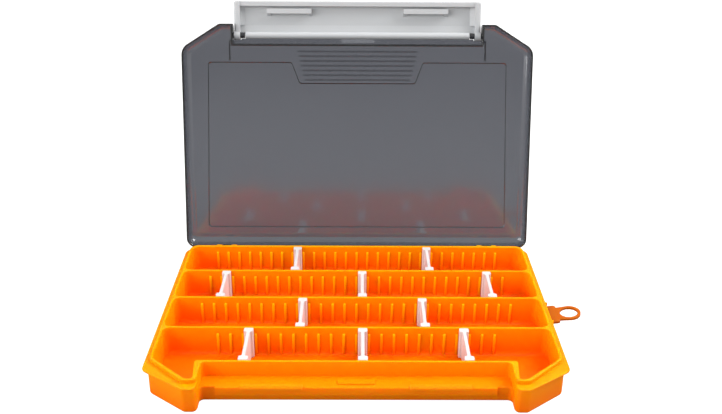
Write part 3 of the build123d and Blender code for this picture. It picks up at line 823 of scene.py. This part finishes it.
class DIVIDEDBOX_OT_dividers(bpy.types.Operator):
    """Give the loose dividers their milky plastic"""

    bl_idname = "divided_box.dividers"
    bl_label = "Dividers"

    def execute(self, context):
        look = plastic_look(
            tone=0.04,
            Subsurface_Weight=0.5,
            Subsurface_Radius=(1.0, 0.8, 0.7),
            Subsurface_Scale=2.0 * MM,
            IOR=1.49,
        )
        material = plastic_material("divider_plastic", context.scene.box_colours.divider, look)
        for node in DIVIDER_NODES:
            paint(node, material)
        return {"FINISHED"}


class DIVIDEDBOX_OT_hang_loop(bpy.types.Operator):
    """Give the hang loop its orange plastic"""

    bl_idname = "divided_box.hang_loop"
    bl_label = "Hang Loop"

    def execute(self, context):
        look = plastic_look(
            tone=0.08,
            roughness=0.38,
            Subsurface_Weight=0.4,
            Subsurface_Radius=(1.0, 0.4, 0.02),
            Subsurface_Scale=1.0 * MM,
            Specular_IOR_Level=0.1,
            IOR=1.49,
        )
        paint("hang_loop", plastic_material("loop_plastic", context.scene.box_colours.loop, look))
        return {"FINISHED"}


class DIVIDEDBOX_OT_hinge_pins(bpy.types.Operator):
    """Give the hinge pins drawn steel"""

    bl_idname = "divided_box.hinge_pins"
    bl_label = "Hinge Pins"

    def execute(self, context):
        look = plastic_look(tone=0.10, roughness=0.30, scuff=0.20, grain=2600.0, bump=0.3, Metallic=1.0)
        material = plastic_material("pin_steel", context.scene.box_colours.pin, look)
        paint("hinge_pin_left", material)
        paint("hinge_pin_right", material)
        return {"FINISHED"}


# Stage


def floor_paper():
    """Matt paper with a faint grain, lifted to white where it is seen, also through the lid."""
    grey = 0.30
    glow = 0.95
    grain_scale = 90.0
    grain_detail = 3.0
    material = bpy.data.materials.new("floor_paper")
    material.use_nodes = True
    tree = material.node_tree
    shader = tree.nodes["Principled BSDF"]
    place = tree.nodes.new("ShaderNodeTexCoord").outputs["Object"]
    grain = noise_node(tree, place, grain_scale, grain_detail)
    bump = tree.nodes.new("ShaderNodeBump")
    bump.inputs["Strength"].default_value = 0.03
    bump.inputs["Distance"].default_value = 0.1 * MM
    tree.links.new(grain, bump.inputs["Height"])
    tree.links.new(bump.outputs["Normal"], shader.inputs["Normal"])
    shader.inputs["Base Color"].default_value = (grey, grey, grey, 1.0)
    shader.inputs["Roughness"].default_value = 0.9
    shader.inputs["Specular IOR Level"].default_value = 0.0
    path = tree.nodes.new("ShaderNodeLightPath")
    seen = math_node(tree, "MAXIMUM", path.outputs["Is Camera Ray"], path.outputs["Is Transmission Ray"])
    shader.inputs["Emission Color"].default_value = (1.0, 1.0, 1.0, 1.0)
    tree.links.new(math_node(tree, "MULTIPLY", seen, glow), shader.inputs["Emission Strength"])
    return material


def build_floor():
    """Plain pale floor that curves up into a backdrop behind the box."""
    half_width = 8.0
    front = -8.0
    bend_start = 1.6
    bend_radius = 0.8
    bend_steps = 12
    top = 3.0
    profile = [(front, 0.0), (bend_start, 0.0)]
    for step in range(1, bend_steps + 1):
        angle = math.pi / 2 * step / bend_steps
        profile.append((bend_start + bend_radius * math.sin(angle), bend_radius * (1 - math.cos(angle))))
    profile.append((bend_start + bend_radius, top))
    points = [(x, y, z) for y, z in profile for x in (-half_width, half_width)]
    faces = [(2 * i, 2 * i + 1, 2 * i + 3, 2 * i + 2) for i in range(len(profile) - 1)]
    floor = object_from("floor", points, faces)
    for polygon in floor.data.polygons:
        polygon.use_smooth = True
    floor.data.materials.append(floor_paper())


def studio_lights(settings):
    """Name, place in metres, width and height in metres, and power of each soft light."""
    return (
        ("side_left", (-1.2, -0.2, 0.55), (0.8, 0.8), settings.side_power),
        ("high_right", (0.9, 0.1, 1.1), (0.8, 0.8), settings.high_power),
        ("back", (0.0, 1.2, 1.3), (1.6, 0.6), settings.back_power),
        ("fill", (-1.1, -1.1, 0.8), (0.8, 0.8), settings.fill_power),
    )


def area_light(name, place, size, power):
    """Soft rectangular light that faces the middle of the box."""
    target = Vector((0.0, 0.0, 0.04))
    data = bpy.data.lights.new(name, "AREA")
    data.shape = "RECTANGLE"
    data.size, data.size_y = size
    data.energy = power
    light = bpy.data.objects.new(name, data)
    light.location = place
    light.rotation_euler = (target - Vector(place)).to_track_quat("-Z", "Y").to_euler()
    bpy.context.scene.collection.objects.link(light)


def build_surroundings(settings):
    """White light from all round."""
    world = bpy.data.worlds.new("surroundings")
    world.use_nodes = True
    background = world.node_tree.nodes["Background"]
    background.inputs["Color"].default_value = (1.0, 1.0, 1.0, 1.0)
    background.inputs["Strength"].default_value = settings.world_strength
    bpy.context.scene.world = world


def build_camera(settings):
    """Camera with the photograph's place, pitch, roll and lens."""
    data = bpy.data.cameras.new("camera")
    data.sensor_fit = "HORIZONTAL"
    data.sensor_width = SENSOR_WIDTH
    data.lens = settings.focal_pixels * SENSOR_WIDTH / PICTURE_WIDTH
    data.shift_x = (PICTURE_WIDTH / 2 - settings.centre_x) / PICTURE_WIDTH
    data.shift_y = (settings.centre_y - PICTURE_HEIGHT / 2) / PICTURE_WIDTH
    data.clip_start = 0.01
    data.clip_end = 50.0
    pitch, roll, yaw = settings.camera_pitch, settings.camera_roll, settings.camera_yaw
    forward = Vector((math.sin(yaw) * math.cos(pitch), math.cos(yaw) * math.cos(pitch), -math.sin(pitch)))
    side = Vector((math.cos(yaw), -math.sin(yaw), 0.0))
    up = side.cross(forward)
    right = side * math.cos(roll) - up * math.sin(roll)
    top = side * math.sin(roll) + up * math.cos(roll)
    turn = Matrix((right, top, -forward)).transposed().to_4x4()
    place = Vector((0.0, TRAY_BACK - settings.camera_distance, RIM_HEIGHT + settings.camera_rise))
    camera = bpy.data.objects.new("camera", data)
    camera.matrix_world = Matrix.Translation(place) @ turn
    bpy.context.scene.collection.objects.link(camera)
    bpy.context.scene.camera = camera


class DIVIDEDBOX_OT_stage(bpy.types.Operator):
    """Set up the pale floor, the soft lights and the camera"""

    bl_idname = "divided_box.stage"
    bl_label = "Stage"

    def execute(self, context):
        settings = context.scene.stage_settings
        build_floor()
        for name, place, size, power in studio_lights(settings):
            area_light(name, place, size, power)
        build_surroundings(settings)
        context.scene.view_settings.view_transform = "Standard"
        build_camera(settings)
        return {"FINISHED"}


class DIVIDEDBOX_PT_panel(bpy.types.Panel):
    """Lists the box's pieces and settings"""

    bl_idname = "DIVIDEDBOX_PT_panel"
    bl_label = "Divided Box"
    bl_space_type = "VIEW_3D"
    bl_region_type = "UI"
    bl_category = "Divided Box"

    def draw(self, context):
        layout = self.layout
        for group in (context.scene.box_colours, context.scene.box_sizes, context.scene.stage_settings):
            box = layout.box()
            for name in group.__annotations__:
                box.prop(group, name)
        for operator in OPERATORS:
            layout.operator(operator.bl_idname)


OPERATORS = (
    DIVIDEDBOX_OT_tray,
    DIVIDEDBOX_OT_lid,
    DIVIDEDBOX_OT_latch,
    DIVIDEDBOX_OT_dividers,
    DIVIDEDBOX_OT_hang_loop,
    DIVIDEDBOX_OT_hinge_pins,
    DIVIDEDBOX_OT_stage,
)
SETTINGS = (
    ("box_colours", BoxColours),
    ("box_sizes", BoxSizes),
    ("stage_settings", StageSettings),
)


def register():
    for name, group in SETTINGS:
        bpy.utils.register_class(group)
        setattr(bpy.types.Scene, name, bpy.props.PointerProperty(type=group))
    for operator in OPERATORS:
        bpy.utils.register_class(operator)
    bpy.utils.register_class(DIVIDEDBOX_PT_panel)


def unregister():
    bpy.utils.unregister_class(DIVIDEDBOX_PT_panel)
    for operator in reversed(OPERATORS):
        bpy.utils.unregister_class(operator)
    for name, group in reversed(SETTINGS):
        delattr(bpy.types.Scene, name)
        bpy.utils.unregister_class(group)


def main():
    """Registers the add-on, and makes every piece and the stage."""
    register()
    bpy.ops.divided_box.tray()
    bpy.ops.divided_box.lid()
    bpy.ops.divided_box.latch()
    bpy.ops.divided_box.dividers()
    bpy.ops.divided_box.hang_loop()
    bpy.ops.divided_box.hinge_pins()
    bpy.ops.divided_box.stage()


if __name__ == "__main__":
    main()
